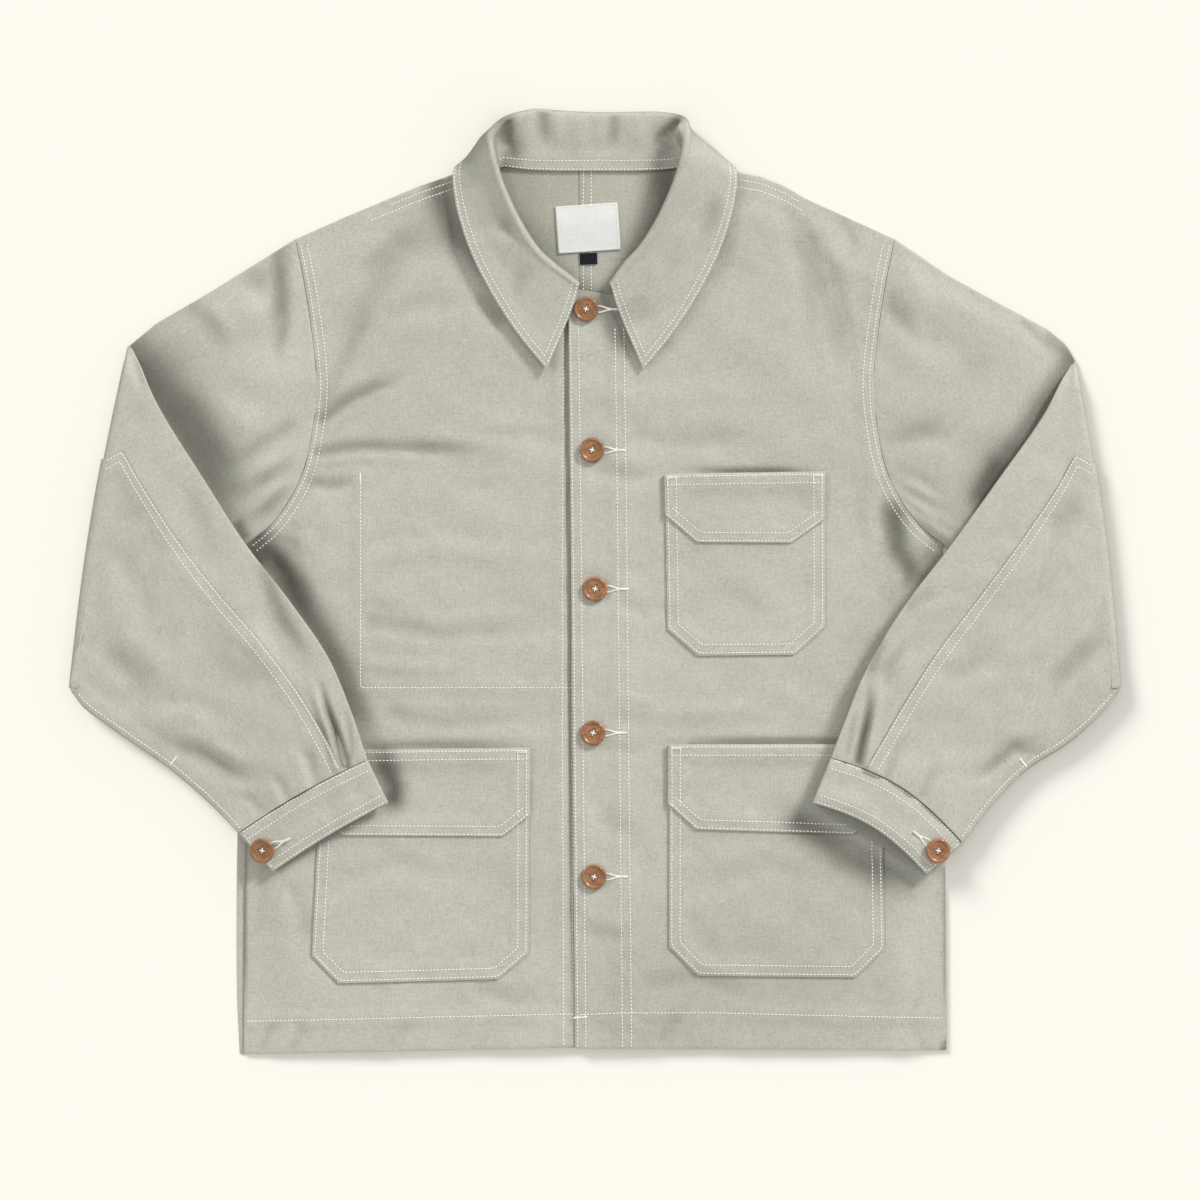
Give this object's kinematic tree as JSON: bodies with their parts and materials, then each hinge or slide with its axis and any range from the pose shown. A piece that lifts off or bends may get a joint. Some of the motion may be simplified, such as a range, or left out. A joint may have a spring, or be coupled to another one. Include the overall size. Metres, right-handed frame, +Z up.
{
  "type": "chore jacket",
  "caption": "Buttoned work jacket of pale heavy canvas with patch pockets and a turned-down collar, laid flat on its back with its sleeves folded in over the fronts.",
  "frame": {"origin": "on the surface that the jacket lies on, under the middle of its bounding box", "axes": "+X to the wearer's left, the jacket's widest way across its folded sleeves; +Y from the hem up to the collar; +Z up from that surface, from the back of the jacket to its fronts"},
  "size_m": [0.8422, 0.7558, 0.0289],
  "materials": {
    "canvas": "heavy cotton canvas, matt",
    "button": "turned nut, satin",
    "white_tape": "woven tape, matt",
    "black_tape": "woven tape, matt"
  },
  "bodies": {
    "root": {"right_back": "canvas", "left_back": "canvas", "right_front": "canvas", "left_front": "canvas", "collar": "canvas", "right_sleeve": "canvas", "right_elbow_patch": "canvas", "right_cuff": "canvas", "left_sleeve": "canvas", "left_elbow_patch": "canvas", "left_cuff": "canvas", "chest_pocket": "canvas", "chest_pocket_facing": "canvas", "left_hip_pocket": "canvas", "left_hip_pocket_facing": "canvas", "right_hip_pocket": "canvas", "right_hip_pocket_facing": "canvas", "front_button_1": "button", "front_button_2": "button", "front_button_3": "button", "front_button_4": "button", "front_button_5": "button", "right_cuff_button": "button", "left_cuff_button": "button", "label": "white_tape", "size_tab": "black_tape"}
  },
  "joints": []
}
